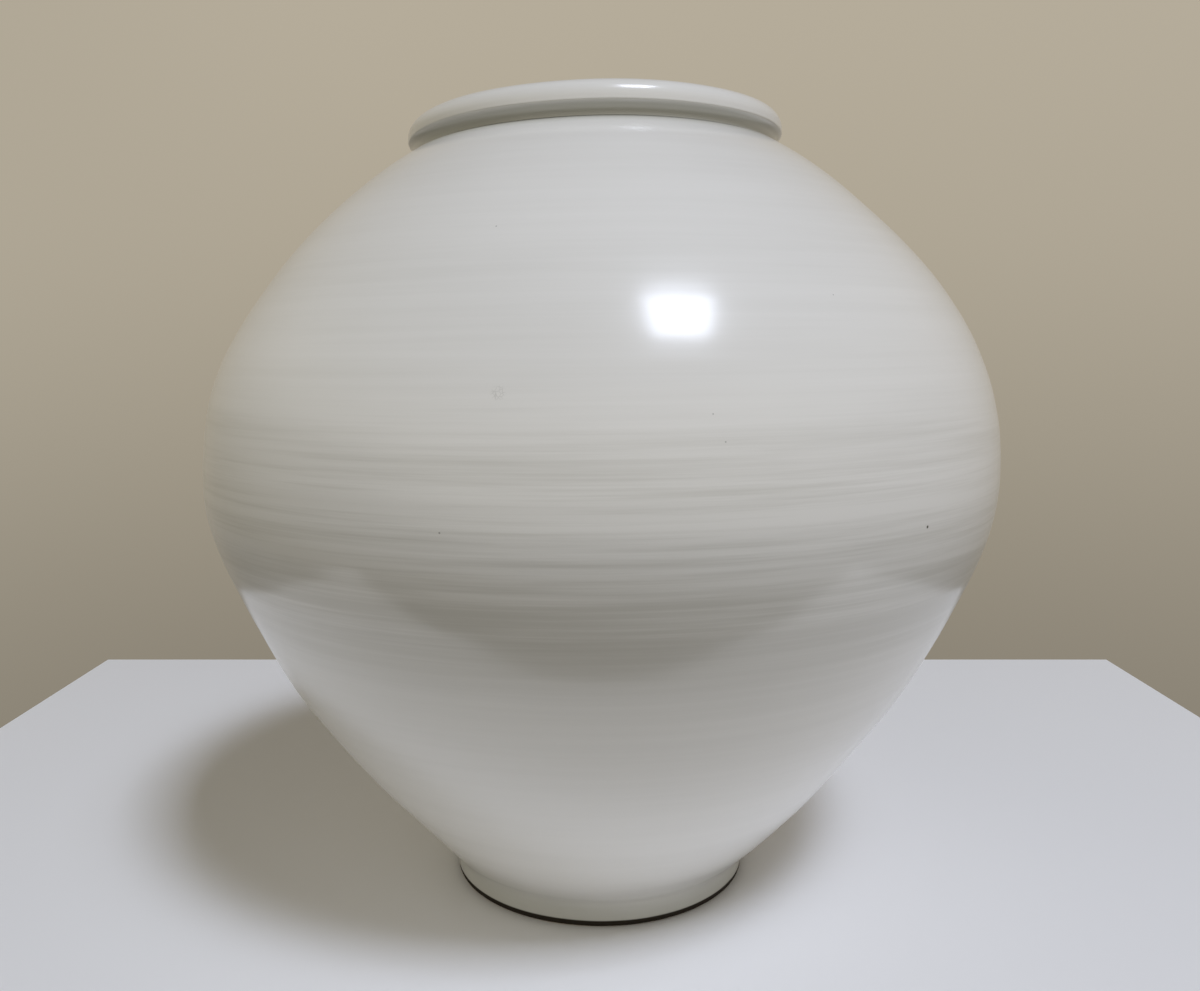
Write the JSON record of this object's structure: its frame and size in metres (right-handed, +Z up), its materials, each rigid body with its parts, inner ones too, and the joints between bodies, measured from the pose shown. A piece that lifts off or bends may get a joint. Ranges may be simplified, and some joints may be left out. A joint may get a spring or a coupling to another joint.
{
  "type": "moon jar",
  "caption": "Large round white porcelain jar of two bowls joined at the belly, with a short rolled neck and a low foot ring; it stands free and holds dry goods or a display.",
  "frame": {"origin": "middle of the flat standing face under the foot ring", "axes": "+Z up along the jar's axis of turning, from the foot to the mouth; X and Y are level, and the jar is round about Z, with the side that the picture shows towards -Y"},
  "size_m": [0.441, 0.4408, 0.435],
  "materials": {
    "glazed_porcelain": "glossy clear glaze over white porcelain, with soft throwing lines",
    "luting_slip": "fired white slip, matt where it is bare",
    "foot_porcelain": "glazed on the sides, bare and matt on the standing face"
  },
  "bodies": {
    "root": {"lower_bowl": "glazed_porcelain", "upper_bowl": "glazed_porcelain", "belly_slip": "luting_slip", "neck_rim": "glazed_porcelain", "neck_slip": "luting_slip", "foot_ring": "foot_porcelain", "foot_slip": "luting_slip"}
  },
  "joints": []
}
